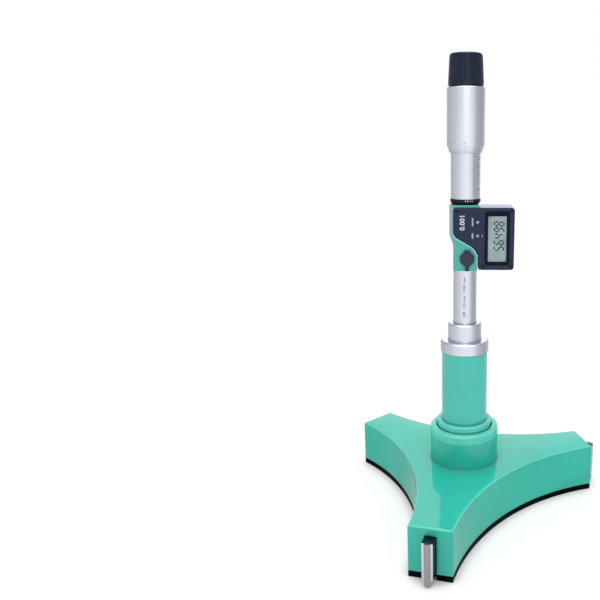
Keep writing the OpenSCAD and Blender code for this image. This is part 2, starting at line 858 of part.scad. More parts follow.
module jaw_spring(i) {
    wire = 0.3;
    turns = 9;
    color(steel) along_arm(i) translate([pocket_in, 0, jaw_low + jaw_pocket_h / 2]) rotate([0, 90, 0])
        coil(jaw_spring_d / 2 - wire, wire, jaw_spring_l, turns, fine_steps, fine_sides);
}

module push_rod() {
    color(steel) difference() {
        union() {
            translate([0, 0, cone_top]) cylinder(h = rod_top - cone_top, r = rod_d / 2);
            translate([0, 0, cone_top - rod_spigot_l]) cylinder(h = rod_spigot_l + cut, r = rod_spigot_r);
        }
        translate([0, 0, rod_top + ball_r - ball_seat]) sphere(r = ball_r);
    }
}

module cone() {
    color(steel) translate([0, 0, cone_z]) difference() {
        cylinder(h = cone_l, r1 = cone_tip_r, r2 = cone_big_r, $fn = 120);
        translate([0, 0, cone_l - rod_spigot_l])
            cylinder(h = rod_spigot_l + cut, r = rod_spigot_r + seat_fit);
    }
}

module spring_collar() {
    color(steel) pipe(lift_collar_top - lift_collar_t, lift_collar_top, lift_collar_r, rod_d / 2 + seat_fit);
}

module thrust_ball() {
    color(silver) translate([0, 0, rod_top + ball_r - ball_seat]) sphere(r = ball_r);
}

module thimble() {
    lip = 0.35;
    edge = 0.6;
    color(silver) difference() {
        union() {
            translate([0, 0, thimble_z]) cylinder(h = bevel_l, r1 = thimble_bore_r + lip, r2 = thimble_r);
            translate([0, 0, thimble_z + bevel_l]) cylinder(h = thimble_l - bevel_l - edge, r = thimble_r);
            translate([0, 0, thimble_top - edge]) cylinder(h = edge, r1 = thimble_r, r2 = thimble_r - edge);
        }
        translate([0, 0, thimble_z - cut]) cylinder(h = thimble_l - thimble_web + cut, r = thimble_bore_r);
        translate([0, 0, thimble_shelf - cut]) cylinder(h = thimble_web + 2 * cut, r = spigot_r + seat_fit);
    }
}

module spindle() {
    color(steel) difference() {
        union() {
            translate([0, 0, spindle_low]) cylinder(h = screw_z - spindle_low, r = spindle_r);
            translate([0, 0, screw_z]) cylinder(h = thimble_shelf - screw_z, r = screw_r);
            translate([0, 0, thimble_shelf - cut])
                cylinder(h = spindle_top - thimble_shelf + cut, r = spigot_r);
        }
        translate([spindle_r - keyway_depth, -keyway_w / 2, keyway_low])
            cube([keyway_depth + cut, keyway_w, keyway_top - keyway_low]);
        translate([0, 0, spindle_top - knob_thread_l])
            cylinder(h = knob_thread_l + cut, r = knob_thread_r + seat_fit);
    }
}

module ratchet_wheel() {
    pitch = 360 / ratchet_teeth;
    steep = 0.85;
    teeth = [for (i = [0:ratchet_teeth - 1], k = [0, 1])
        let (a = (i + k * steep) * pitch, r = wheel_r - k * tooth_h) [r * cos(a), r * sin(a)]];
    color(steel) translate([0, 0, thimble_top]) difference() {
        linear_extrude(wheel_h) polygon(teeth);
        translate([0, 0, -cut]) cylinder(h = wheel_h + 2 * cut, r = spigot_r + seat_fit);
    }
}

module wheel_nut() {
    color(steel) translate([0, 0, thimble_top + wheel_h]) difference() {
        cylinder(h = wheel_nut_h, r = wheel_r - tooth_h, $fn = 6);
        translate([0, 0, -cut]) cylinder(h = wheel_nut_h + 2 * cut, r = spigot_r + seat_fit);
    }
}

module knob_screw() {
    slot_w = 0.9;
    slot_depth = 0.8;
    color(steel) difference() {
        union() {
            translate([0, 0, spindle_top - knob_thread_l])
                cylinder(h = knob_thread_l + cut, r = knob_thread_r);
            translate([0, 0, spindle_top]) cylinder(h = screw_head_z - spindle_top + cut, r = shoulder_r);
            translate([0, 0, screw_head_z]) cylinder(h = screw_head_t, r = screw_head_r);
        }
        translate([-screw_head_r - cut, -slot_w / 2, screw_head_z + screw_head_t - slot_depth])
            cube([2 * screw_head_r + 2 * cut, slot_w, slot_depth + cut]);
    }
}

module ratchet_knob() {
    top_edge = 1.6;
    foot_edge = 0.7;
    rib_foot = 1.6;
    taper = atan((knob_d - knob_top_d) / 2 / knob_h);
    color(navy) difference() {
        translate([0, 0, knob_z]) cylinder(h = knob_h, r1 = knob_d / 2, r2 = knob_top_d / 2);
        translate([0, 0, knob_top]) round_over(knob_top_d / 2, top_edge);
        translate([0, 0, knob_z]) rotate_extrude() polygon([
            [knob_d / 2 - foot_edge, 0], [knob_d / 2 - foot_edge, -cut],
            [knob_d / 2 + cut, -cut], [knob_d / 2 + cut, foot_edge + cut]
        ]);
        for (i = [0:knob_ribs - 1]) rotate([0, 0, (i + 0.5) * 360 / knob_ribs])
            translate([knob_d / 2, 0, knob_z]) rotate([0, -taper, 0]) translate([0, 0, rib_foot])
                cylinder(h = knob_h - rib_foot - top_edge, r = rib_r, $fn = 16);
        translate([0, 0, knob_z - cut]) cylinder(h = knob_cavity_top - knob_z + cut, r = knob_cavity_r);
        translate([0, 0, knob_z]) cylinder(h = knob_h + cut, r = shoulder_r + run_fit);
        translate([0, 0, screw_head_z - clear]) cylinder(h = knob_h, r = screw_head_r + clear);
        translate([0, 0, pawl_z]) rotate([0, 90, 0]) cylinder(h = pawl_bore_end, r = pawl_r + run_fit);
    }
}

module ratchet_pawl() {
    color(steel) translate([pawl_tip, 0, pawl_z]) rotate([0, 90, 0])
        cylinder(h = pawl_back - pawl_tip, r = pawl_r);
}

module pawl_spring() {
    wire = 0.15;
    turns = 2;
    color(steel) translate([pawl_back, 0, pawl_z]) rotate([0, 90, 0])
        coil(pawl_r - 2 * wire, wire, pawl_bore_end - pawl_back, turns, fine_steps, fine_sides);
}

module jaw(i) {
    color(silver) along_arm(i) difference() {
        translate([0, jaw_w / 2, 0]) rotate([90, 0, 0]) linear_extrude(jaw_w) polygon([
            [jaw_start, jaw_low], [jaw_end, jaw_low], [jaw_end, jaw_top],
            [jaw_start + contact_h * cone_ratio, jaw_top], [jaw_start, wedge_low]
        ]);
        translate([pocket_in, -jaw_pocket_w / 2, jaw_low - cut])
            cube([pocket_out - pocket_in, jaw_pocket_w, jaw_pocket_h + cut]);
        translate([carbide_r, 0, jaw_low - cut]) cylinder(h = jaw_top - jaw_low + 2 * cut, d = carbide_d);
    }
}

module carbide(i) {
    color(carbide_grey) along_arm(i) translate([carbide_r, 0, carbide_lift])
        cylinder(h = jaw_top - carbide_lift, d = carbide_d);
}

module push_button(z) {
    back = housing_front - button_flange_t - sole_fit;
    color(button_blue) translate([button_x, -back, z]) rotate([90, 0, 0]) {
        cylinder(h = panel_front + button_proud - back, r = button_d / 2);
        cylinder(h = button_flange_t, r = button_d / 2 + button_flange);
    }
}

module port_plug() {
    step_t = 0.5;
    step_w = 0.8;
    tab_t = 1.1;
    lug_w = 4;
    lug_h = 1.5;
    color(black) translate([plug_x, -housing_front - plug_gap, plug_z]) rotate([90, 0, 0]) {
        rotate([0, 0, 22.5]) cylinder(h = plug_t - step_t, d = plug_d, $fn = 8);
        rotate([0, 0, 22.5]) cylinder(h = plug_t, d = plug_d - step_w, $fn = 8);
        translate([0, 0, -plug_spigot_l]) cylinder(h = plug_spigot_l + step_t, r = plug_spigot_r);
        translate([-plug_tab_w / 2, housing_z - plug_z, 0]) cube([plug_tab_w, plug_z - housing_z, tab_t]);
        translate([-lug_w / 2, 0, 0]) cube([lug_w, plug_d / 2 + lug_h - step_w, tab_t]);
    }
}

head_body();
base_plate();
base_screws();
spring_posts();
lock_ring();
extension_tube();
lower_bush();
return_spring();
tube_flange();
stem_collar();
stem();
upper_bush();
display_housing();
display_case();
front_panel();
panel_screws();
lcd_window();
lcd_module();
circuit_board();
battery();
battery_cap();
encoder_stator();
index_ring();
sleeve();
spindle_nut();
adjusting_nut();
jaw_spring(0);  // jaw_spring_1
jaw_spring(1);  // jaw_spring_2
jaw_spring(2);  // jaw_spring_3
push_rod();
cone();
spring_collar();
thrust_ball();
thimble();
spindle();
ratchet_wheel();
wheel_nut();
knob_screw();
ratchet_knob();
ratchet_pawl();
pawl_spring();
jaw(0);  // jaw_1
jaw(1);  // jaw_2
jaw(2);  // jaw_3
carbide(0);  // carbide_1
carbide(1);  // carbide_2
carbide(2);  // carbide_3
encoder_rotor();
push_button(button_zs[0]);  // on_off_button
push_button(button_zs[1]);  // zero_button
port_plug();
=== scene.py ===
import json
import math

import bmesh
import bpy
from mathutils import Matrix, Vector


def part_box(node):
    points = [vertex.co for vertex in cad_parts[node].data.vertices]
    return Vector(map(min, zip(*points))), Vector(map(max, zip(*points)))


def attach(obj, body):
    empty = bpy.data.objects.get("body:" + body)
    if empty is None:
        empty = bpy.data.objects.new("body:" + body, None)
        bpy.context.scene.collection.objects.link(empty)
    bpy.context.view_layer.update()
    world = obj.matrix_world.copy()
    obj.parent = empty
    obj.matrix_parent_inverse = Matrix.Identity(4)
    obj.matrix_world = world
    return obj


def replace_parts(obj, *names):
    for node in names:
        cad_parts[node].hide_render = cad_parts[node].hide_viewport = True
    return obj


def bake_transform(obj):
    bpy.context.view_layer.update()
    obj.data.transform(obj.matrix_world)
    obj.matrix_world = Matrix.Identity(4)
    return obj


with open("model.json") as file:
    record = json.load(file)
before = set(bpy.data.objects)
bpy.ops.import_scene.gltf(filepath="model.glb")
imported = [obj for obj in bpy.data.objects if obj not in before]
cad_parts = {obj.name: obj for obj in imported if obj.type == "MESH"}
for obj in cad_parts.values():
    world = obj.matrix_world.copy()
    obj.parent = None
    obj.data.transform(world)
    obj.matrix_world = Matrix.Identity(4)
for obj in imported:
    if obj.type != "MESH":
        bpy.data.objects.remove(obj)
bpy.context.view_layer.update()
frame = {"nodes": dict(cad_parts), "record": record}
nodes = frame["nodes"]
joints = {j["name"]: j for j in frame["record"]["behaviour"]["joints"]}
MM = 0.001
UP, FRONT, LEFT = (0, 0, 1), (0, -1, 0), (-1, 0, 0)


def box_mm(node_name):
    """A CAD node's lowest and highest corners, in millimetres."""
    return [[round(v / MM, 3) for v in corner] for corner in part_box(node_name)]


def front_rectangle(node_name, grow):
    """A node's outline from the front as (x0, z0, x1, z1), grown on each side, in millimetres."""
    low, high = box_mm(node_name)
    return low[0] - grow, low[2] - grow, high[0] + grow, high[2] + grow


# Sizes and levels of the CAD model, in millimetres
STAR_TOP = 36.3
BOSS_RIM_Z = (55.3, 56.6)
STEM_R = box_mm("stem")[1][0]
SLEEVE_R = box_mm("sleeve")[1][0]
INDEX_R = box_mm("index_ring")[1][0]
INDEX_TOP = box_mm("index_ring")[1][2]
THIMBLE_R = box_mm("thimble")[1][0]
THIMBLE_FOOT = box_mm("thimble")[0][2]
BEVEL_L, BEVEL_LOW_R = 5.2, 10.75
TRAVEL_BACK = -joints["rod_slide"]["range_m"][0] / MM
HOUSING_Y = box_mm("display_housing")[0][1]
PANEL_Y = box_mm("front_panel")[0][1]
LCD_Y = box_mm("lcd_module")[0][1]
PANE_Y = box_mm("lcd_window")[0][1]
PANE = front_rectangle("lcd_window", 0.05)
WINDOW = front_rectangle("lcd_module", -1.0)


# Shader nodes

def feed(tree, socket, value):
    """Links another node's output to a socket, or sets it to a number, a vector or a linear colour."""
    if isinstance(value, bpy.types.NodeSocket):
        tree.links.new(value, socket)
    elif socket.type == "RGBA":
        socket.default_value = (*value, 1)
    else:
        socket.default_value = value


def node(tree, kind, **values):
    """A new node. Keywords name its sockets, with _ for spaces, or its settings."""
    n = tree.nodes.new(kind)
    for key, value in values.items():
        name = key.replace("_", " ")
        if name in n.inputs:
            feed(tree, n.inputs[name], value)
        else:
            setattr(n, key, value)
    return n


def calc(tree, operation, *values):
    """A math node on numbers or sockets."""
    n = node(tree, "ShaderNodeMath", operation=operation)
    for socket, value in zip(n.inputs, values):
        feed(tree, socket, value)
    return n.outputs["Value"]


def vector_calc(tree, operation, *values):
    """A vector math node on vectors or sockets."""
    n = node(tree, "ShaderNodeVectorMath", operation=operation)
    for socket, value in zip(n.inputs, values):
        feed(tree, socket, value)
    return n.outputs["Value" if operation == "DOT_PRODUCT" else "Vector"]


def between(tree, value, low, high, first=0.0, last=1.0):
    """A number that goes from first to last while value goes from low to high, and stays there outside."""
    n = node(tree, "ShaderNodeMapRange", Value=value, From_Min=low, From_Max=high, To_Min=first, To_Max=last)
    return n.outputs["Result"]


def mix_colour(tree, share, a, b):
    """The colour a, mixed by share with the colour b."""
    n = node(tree, "ShaderNodeMix", data_type="RGBA", Factor=share)
    feed(tree, n.inputs[6], a)
    feed(tree, n.inputs[7], b)
    return n.outputs[2]


def mix_shader(tree, share, a, b):
    """The shader node a, mixed by share with the shader node b."""
    n = node(tree, "ShaderNodeMixShader", Fac=share)
    feed(tree, n.inputs[1], a.outputs[0])
    feed(tree, n.inputs[2], b.outputs[0])
    return n


def show(tree, shader):
    """Makes a shader node the material's surface."""
    feed(tree, tree.nodes["Material Output"].inputs["Surface"], shader.outputs[0])


def ramp(tree, value, stops):
    """A colour that runs through stops of (position, linear colour) along a number."""
    n = node(tree, "ShaderNodeValToRGB", Fac=value)
    elements = n.color_ramp.elements
    while len(elements) < len(stops):
        elements.new(0.5)
    for element, (position, colour) in zip(elements, stops):
        element.position = position
        element.color = (*colour, 1)
    return n.outputs["Color"]


def grey_ramp(tree, value, levels, top=1.0):
    """A grey that runs through levels of (position, brightness), as a share of top."""
    return ramp(tree, value, [(position, (level / top,) * 3) for position, level in levels])


def noise(tree, scale, detail=3.0, stretch=(1, 1, 1), rough=0.5):
    """Noise in object coordinates, in metres, that are stretched by three factors."""
    spot = node(tree, "ShaderNodeTexCoord").outputs["Object"]
    spot = node(tree, "ShaderNodeMapping", Vector=spot, Scale=stretch).outputs["Vector"]
    n = node(tree, "ShaderNodeTexNoise", Vector=spot, Scale=scale, Detail=detail, Roughness=rough)
    return n.outputs["Fac"]


def world_point(tree):
    """The outputs X, Y and Z of the shaded point, in metres."""
    spot = node(tree, "ShaderNodeNewGeometry").outputs["Position"]
    return node(tree, "ShaderNodeSeparateXYZ", Vector=spot).outputs


def facing(tree, direction):
    """How much a surface faces a direction, from the world normal."""
    return vector_calc(tree, "DOT_PRODUCT", node(tree, "ShaderNodeNewGeometry").outputs["Normal"], direction)


def soft_normal(tree, radius):
    """The normal, turned near sharp edges as if they were rounded by a radius in metres."""
    return node(tree, "ShaderNodeBevel", Radius=radius, samples=8).outputs["Normal"]


def openness(tree, distance):
    """1 on open surfaces, and less where others are nearer than a distance in metres."""
    return node(tree, "ShaderNodeAmbientOcclusion", Distance=distance, samples=8).outputs["AO"]


# Parts of materials

# The range of a noise that colours and roughness run over, and the openness from full painted shade to none
COLOUR_SPREAD, GLOSS_SPREAD, PAINTED_SHADE_SPREAD = (0.35, 0.65), (0.3, 0.7), (0.05, 0.85)


def material(name, base, rough=0.4, metal=0.0, **sockets):
    """A new principled material and its node tree. Keywords set more sockets, with _ for spaces."""
    m = bpy.data.materials.new(name)
    m.use_nodes = True
    tree = m.node_tree
    values = {"Base_Color": base, "Roughness": rough, "Metallic": metal, **sockets}
    for key, value in values.items():
        feed(tree, surface(tree)[key.replace("_", " ")], value)
    return m, tree


def surface(tree):
    """The inputs of a material's principled shader."""
    return tree.nodes["Principled BSDF"].inputs


def shade(colour, k):
    return tuple(v * k for v in colour)


def mottled(tree, value, low, high):
    """A colour between low and high that follows a noise value."""
    return ramp(tree, value, list(zip(COLOUR_SPREAD, (low, high))))


def tint(tree, value, low, high):
    feed(tree, surface(tree)["Base Color"], mottled(tree, value, low, high))


def gloss(tree, value, low, high):
    """Roughness between low and high that follows a noise value."""
    feed(tree, surface(tree)["Roughness"], between(tree, value, *GLOSS_SPREAD, low, high))


def bump(tree, height, strength, distance, edge=0.0):
    """Fine relief, over sharp edges that are shaded as if rounded by edge metres."""
    relief = node(tree, "ShaderNodeBump", Strength=strength, Distance=distance, Height=height)
    if edge:
        feed(tree, relief.inputs["Normal"], soft_normal(tree, edge))
    feed(tree, surface(tree)["Normal"], relief.outputs["Normal"])


def layer(tree, share, colour):
    """Mixes the base colour by share with another colour."""
    socket = surface(tree)["Base Color"]
    feed(tree, socket, mix_colour(tree, share, socket.links[0].from_socket, colour))


def grime(tree, distance, dark):
    """Painted shade: darkens the colour in gaps and inner corners narrower than a distance in metres."""
    layer(tree, between(tree, openness(tree, distance), *PAINTED_SHADE_SPREAD, 1.0, 0.0), dark)


# Materials

# Share of the painted highlight by how far the normal leans up: none on walls and flat tops, most on rounded
# edges
HIGHLIGHT_BY_LEAN = [(0.0, 0.0), (0.14, 0.0), (0.4, 0.6), (0.86, 0.6), (0.985, 0.0), (1.0, 0.0)]
HIGHLIGHT_ON_BOSS_RIM = 0.42


def pale_edges(tree, edge, highlight):
    """Painted highlight: paler colour on rounded edges and on the boss's rim."""
    lean = node(tree, "ShaderNodeSeparateXYZ", Vector=soft_normal(tree, edge)).outputs["Z"]
    low, high = BOSS_RIM_Z
    rim = between(tree, world_point(tree)["Z"], low * MM, high * MM, 0.0, HIGHLIGHT_ON_BOSS_RIM)
    layer(tree, calc(tree, "MAXIMUM", grey_ramp(tree, lean, HIGHLIGHT_BY_LEAN), rim), highlight)


def green_paint(name, base, rough, edge=0.0012, highlight=None, **sockets):
    m, tree = material(name, base, IOR=1.5, **sockets)
    tint(tree, noise(tree, 28, 4), shade(base, 0.95), shade(base, 1.05))
    gloss(tree, noise(tree, 160, 3), *rough)
    bump(tree, noise(tree, 1300, 2), 0.03, 0.0004, edge)
    # Painted highlight on the rounded edges and the boss's rim, in the pale colour when one is given
    if highlight:
        pale_edges(tree, edge, highlight)
    # Painted shade in the paint's gaps and inner corners, such as the arms' channels and the foot of the
    # boss
    grime(tree, 0.0022, (0.001, 0.020, 0.016))
    return m


def housing_green():
    """The handle's paint, with a painted highlight that makes it paler on the rounded left side."""
    m = green_paint("housing_green", (0.076, 0.42, 0.375), (0.16, 0.24), 0.0008,
                    Sheen_Weight=0.15, Sheen_Roughness=0.4)
    # Painted highlight: the colour turns pale grey where the surface faces left
    layer(m.node_tree, between(m.node_tree, facing(m.node_tree, LEFT), 0.05, 0.6), (0.37, 0.43, 0.47))
    return m


def jaw_steel():
    """Ground steel with painted shade: near black on the top and on one flank of each jaw."""
    m, tree = material("jaw_steel", (0.8, 0.8, 0.84), metal=1.0)
    marks = noise(tree, 900, 4, stretch=(1, 1, 14), rough=0.6)
    tint(tree, marks, (0.78, 0.78, 0.84), (0.86, 0.86, 0.91))
    # Painted shade: the top, and the flank that faces anticlockwise round the axis seen from above, darken
    # to near black
    spot = node(tree, "ShaderNodeNewGeometry").outputs["Position"]
    outward = vector_calc(tree, "NORMALIZE", vector_calc(tree, "MULTIPLY", spot, (1, 1, 0)))
    flank = vector_calc(tree, "CROSS_PRODUCT", UP, outward)
    painted_dark_side = calc(tree, "MAXIMUM", facing(tree, flank), facing(tree, UP))
    painted_dark = mottled(tree, marks, (0.020, 0.034, 0.038), (0.032, 0.050, 0.054))
    layer(tree, between(tree, painted_dark_side, 0.55, 0.75), painted_dark)
    gloss(tree, marks, 0.24, 0.34)
    bump(tree, marks, 0.1, 0.0002, 0.0003)
    return m


def plate_black():
    m, tree = material("blackened_plate", (0.004, 0.005, 0.006), Specular_IOR_Level=0.02)
    tint(tree, noise(tree, 300, 4), (0.0008, 0.0024, 0.0028), (0.003, 0.005, 0.0055))
    gloss(tree, noise(tree, 90, 3), 0.34, 0.5)
    bump(tree, noise(tree, 4200, 2), 0.15, 0.0002)
    return m


def satin_chrome(name, base, rough):
    m, tree = material(name, base, metal=1.0, Specular_Tint=(0.78, 0.77, 0.83))
    tint(tree, noise(tree, 45, 4), shade(base, 0.97), shade(base, 1.02))
    gloss(tree, noise(tree, 210, 4, stretch=(1, 1, 6)), *rough)
    bump(tree, noise(tree, 2600, 2, stretch=(1, 1, 1.6)), 0.015, 0.0002, 0.0004)
    # Painted shade in the narrow gaps between metal parts
    grime(tree, 0.0012, (0.12, 0.12, 0.14))
    return m


def turned(name, base, rough, stretch, strength=0.12):
    """Machined metal whose fine marks run across the stretched direction."""
    m, tree = material(name, base, metal=1.0)
    marks = noise(tree, 900, 4, stretch=stretch, rough=0.6)
    tint(tree, marks, shade(base, 0.9), shade(base, 1.06))
    gloss(tree, marks, *rough)
    bump(tree, marks, strength, 0.0002)
    return m


def carbide_rod():
    """Ground rod with a dull dark upper end."""
    m = turned("carbide", (0.46, 0.42, 0.45), (0.14, 0.24), (1, 1, 18), 0.05)
    layer(m.node_tree, between(m.node_tree, facing(m.node_tree, UP), 0.5, 0.8), (0.05, 0.07, 0.08))
    return m


def plastic(name, base, rough, grain=2600, strength=0.18, level=0.5, edge=0.0003):
    m, tree = material(name, base, rough=rough, Specular_IOR_Level=level)
    tint(tree, noise(tree, 120, 4), shade(base, 0.9), shade(base, 1.1))
    gloss(tree, noise(tree, 500, 3), rough * 0.88, rough * 1.12)
    bump(tree, noise(tree, grain, 2), strength, 0.0003, edge)
    return m


def panel_navy():
    """Navy moulding with painted shade on its rounded rim."""
    m = plastic("navy_plastic", (0.011, 0.024, 0.060), 0.3, strength=0.06, level=0.3, edge=0.0006)
    tree = m.node_tree
    # Painted shade: the colour darkens where the surface turns away from the front
    layer(tree, between(tree, facing(tree, FRONT), 0.8, 0.985, 1.0, 0.0), (0.001, 0.002, 0.008))
    return m


def knob_plastic():
    """Ribbed grip with painted shade in its grooves."""
    m = plastic("knob_plastic", (0.007, 0.017, 0.044), 0.22, strength=0.04, level=0.32, edge=0.0002)
    grime(m.node_tree, 0.0014, (0.0004, 0.001, 0.003))
    return m


def pane_glass():
    """Thin clear pane: what lies behind shows through, with the room's reflection over it."""
    m = bpy.data.materials.new("clear_pane")
    m.use_nodes = True
    tree = m.node_tree
    tree.nodes.remove(tree.nodes["Principled BSDF"])
    smear = node(tree, "ShaderNodeBump", Strength=0.02, Distance=0.0002, Height=noise(tree, 240, 2))
    through = node(tree, "ShaderNodeBsdfTransparent", Color=(0.97, 0.985, 0.98))
    shine = node(tree, "ShaderNodeBsdfGlossy", Roughness=0.04, Normal=smear.outputs["Normal"])
    share = node(tree, "ShaderNodeFresnel", IOR=1.28).outputs["Fac"]
    show(tree, mix_shader(tree, share, through, shine))
    return m


def print_ink(name, base, rough=0.5):
    m, tree = material(name, base, rough=rough, Specular_IOR_Level=0.3)
    tint(tree, noise(tree, 2500, 3), shade(base, 0.86), shade(base, 1.08))
    gloss(tree, noise(tree, 1800, 2), rough * 0.9, rough * 1.1)
    return m


# By material slot of the record, and for two nodes by name
MATS = {
    # The head's paint carries painted shade in its gaps and a painted highlight on its edges and boss rim
    "green_paint": green_paint("green_enamel", (0.031, 0.482, 0.376), (0.05, 0.09), edge=0.0011,
                               highlight=(0.20, 0.76, 0.67)),
    "black_plate": plate_black(),
    "satin_chrome": satin_chrome("satin_chrome", (0.82, 0.85, 0.95), (0.25, 0.33)),
    "tool_steel": turned("tool_steel", (0.55, 0.56, 0.58), (0.24, 0.4), (1, 1, 12)),
    "spring_steel": turned("spring_steel", (0.42, 0.43, 0.45), (0.25, 0.4), (4, 4, 4)),
    "bronze": turned("bronze", (0.60, 0.42, 0.19), (0.28, 0.42), (1, 1, 12)),
    "navy_plastic": panel_navy(),
    "case_silver": satin_chrome("case_silver", (0.50, 0.55, 0.61), (0.36, 0.44)),
    "black_oxide": plastic("black_oxide", (0.006, 0.007, 0.011), 0.4, level=0.3),
    "knob_plastic": knob_plastic(),
    "index_black": plastic("index_black", (0.003, 0.010, 0.011), 0.35, strength=0.06, level=0.25),
    "ground_steel": jaw_steel(),
    "carbide": carbide_rod(),
    "clear_pane": pane_glass(),
    "lcd_grey": plastic("lcd_grey", (0.53, 0.645, 0.66), 0.45, grain=5200, strength=0.05, level=0.2),
    "board_green": plastic("board_green", (0.02, 0.13, 0.06), 0.4),
    "cell_steel": turned("cell_steel", (0.62, 0.62, 0.62), (0.2, 0.32), (2, 2, 2), 0.04),
    "button_blue": plastic("button_blue", (0.008, 0.020, 0.13), 0.32, strength=0.08),
    "plug_rubber": plastic("plug_rubber", (0.022, 0.030, 0.060), 0.5, strength=0.25, level=0.4),
}
BY_NODE = {
    "extension_tube": green_paint("tube_green", (0.072, 0.55, 0.46), (0.16, 0.24),
                                  Sheen_Weight=0.16, Sheen_Roughness=0.4),
    "display_housing": housing_green(),
}
# The lip's green is painted pale, as a highlight along the panel's edge
LIP_HIGHLIGHT_GREEN = green_paint("lip_highlight_green", (0.34, 0.78, 0.70), (0.12, 0.18), 0.0)
INK_WHITE = print_ink("ink_white", (0.72, 0.74, 0.78))
# A pale blue for the painted glint on each button
GLINT_BLUE = print_ink("painted_glint_blue", (0.42, 0.52, 0.80))
INK_GREY = print_ink("ink_grey", (0.10, 0.10, 0.13))
INK_PALE = print_ink("ink_pale", (0.20, 0.20, 0.27))
LCD_INK = print_ink("lcd_segments", (0.008, 0.016, 0.020), 0.4)
PANE_PRINT = plastic("pane_border", (0.003, 0.005, 0.019), 0.2, strength=0.02, level=0.12)

for part in frame["record"]["subparts"]:
    obj = nodes[part["node"]]
    mat = BY_NODE.get(part["node"]) or MATS[part["material_slot"]]
    if not obj.material_slots:
        obj.data.materials.append(mat)
    for s in obj.material_slots:
        s.material = mat


# Pieces from meshes

# Gaps in metres: points that are one, and points that are on a face's level
SAME_POINT, SAME_LEVEL = 2e-6, 2e-5

# Angles: faces that turn less are one flat face, and edges that turn more stay sharp
FLAT_ANGLE, SHARP_ANGLE = math.radians(0.4), math.radians(28)

# How much walls at most, and tops at least, face the top's direction
WALL_FACING, TOP_FACING = 0.1, 0.99
ROUND_SEGMENTS = 5
STAR_EDGE_R, PANEL_EDGE_R = 0.0012, 0.0007


def add_mesh(name, bm, mat):
    """A new object from a bmesh, which is freed."""
    me = bpy.data.meshes.new(name)
    bm.to_mesh(me)
    bm.free()
    me.materials.append(mat)
    obj = bpy.data.objects.new(name, me)
    bpy.context.scene.collection.objects.link(obj)
    return obj


def add_piece(name, bm, mat, body):
    obj = add_mesh(name, bm, mat)
    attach(obj, body)
    return obj


def world_mesh(node_name):
    """A node's mesh as a bmesh in the model's frame, with its split points joined."""
    bm = bmesh.new()
    bm.from_mesh(nodes[node_name].data)
    bm.transform(nodes[node_name].matrix_world)
    bmesh.ops.remove_doubles(bm, verts=bm.verts, dist=SAME_POINT)
    return bm


def longest_run(edges):
    """The connected edges that span the widest box."""
    left, best = set(edges), (0, [])
    while left:
        run, todo = [], [left.pop()]
        while todo:
            e = todo.pop()
            run.append(e)
            near = [o for v in e.verts for o in v.link_edges if o in left]
            left.difference_update(near)
            todo += near
        points = [v.co for e in run for v in e.verts]
        span = sum(max(q[k] for q in points) - min(q[k] for q in points) for k in range(3))
        best = max(best, (span, run), key=lambda b: b[0])
    return best[1]


def rounded_copy(name, node_name, up, level, size, slot):
    """Stands for a CAD node. The outer edge of its flat face at level along up is rounded by size metres."""
    bm = world_mesh(node_name)
    bmesh.ops.dissolve_limit(bm, angle_limit=FLAT_ANGLE, verts=bm.verts[:], edges=bm.edges[:])
    bm.normal_update()
    rim = []
    for e in bm.edges:
        if len(e.link_faces) == 2 and all(abs(v.co.dot(up) - level) < SAME_LEVEL for v in e.verts):
            low, high = sorted(f.normal.dot(up) for f in e.link_faces)
            if low < WALL_FACING and high > TOP_FACING:
                rim.append(e)
    bmesh.ops.bevel(bm, geom=longest_run(rim), offset=size, offset_type="OFFSET", segments=ROUND_SEGMENTS,
                    profile=0.5, affect="EDGES", clamp_overlap=False)
    for f in bm.faces:
        f.smooth = True
    for e in bm.edges:
        e.smooth = len(e.link_faces) == 2 and e.calc_face_angle() < SHARP_ANGLE
    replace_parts(add_piece(name, bm, MATS[slot], "frame"), node_name)


def live_spring(name, node_name):
    """Stands for a CAD spring with a smooth-shaded copy of its mesh, which stays where it is."""
    bm = world_mesh(node_name)
    for f in bm.faces:
        f.smooth = True
    obj = add_mesh(name, bm, MATS["spring_steel"])
    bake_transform(obj)
    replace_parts(obj, node_name)


rounded_copy("star_head", "head_body", Vector(UP), STAR_TOP * MM, STAR_EDGE_R, "green_paint")
rounded_copy("panel_moulding", "front_panel", Vector(FRONT), -PANEL_Y * MM, PANEL_EDGE_R, "navy_plastic")
live_spring("rod_spring", "return_spring")
for k in (1, 2, 3):
    live_spring("anvil_spring_%d" % k, "jaw_spring_%d" % k)


# Flat shapes in millimetres, and the surfaces that they are printed on

PRINT_LIFT, FINE_LIFT = 0.02, 0.015


def shape(draw):
    bm = bmesh.new()
    draw(bm)
    return bm


def text_shape(words, size, spacing=1.0, bold=0.0):
    """Letters centred on the origin, reading along +X with their tops towards +Y."""
    curve = bpy.data.curves.new("letters", "FONT")
    curve.body = words
    curve.size = size
    curve.space_character = spacing
    curve.offset = bold
    curve.align_x = "CENTER"
    curve.align_y = "CENTER"
    curve.resolution_u = 4
    holder = bpy.data.objects.new("letters", curve)
    bpy.context.scene.collection.objects.link(holder)
    bpy.context.view_layer.update()
    me = bpy.data.meshes.new_from_object(holder.evaluated_get(bpy.context.evaluated_depsgraph_get()))
    bm = bmesh.new()
    bm.from_mesh(me)
    bpy.data.objects.remove(holder)
    bpy.data.meshes.remove(me)
    bpy.data.curves.remove(curve)
    return bm


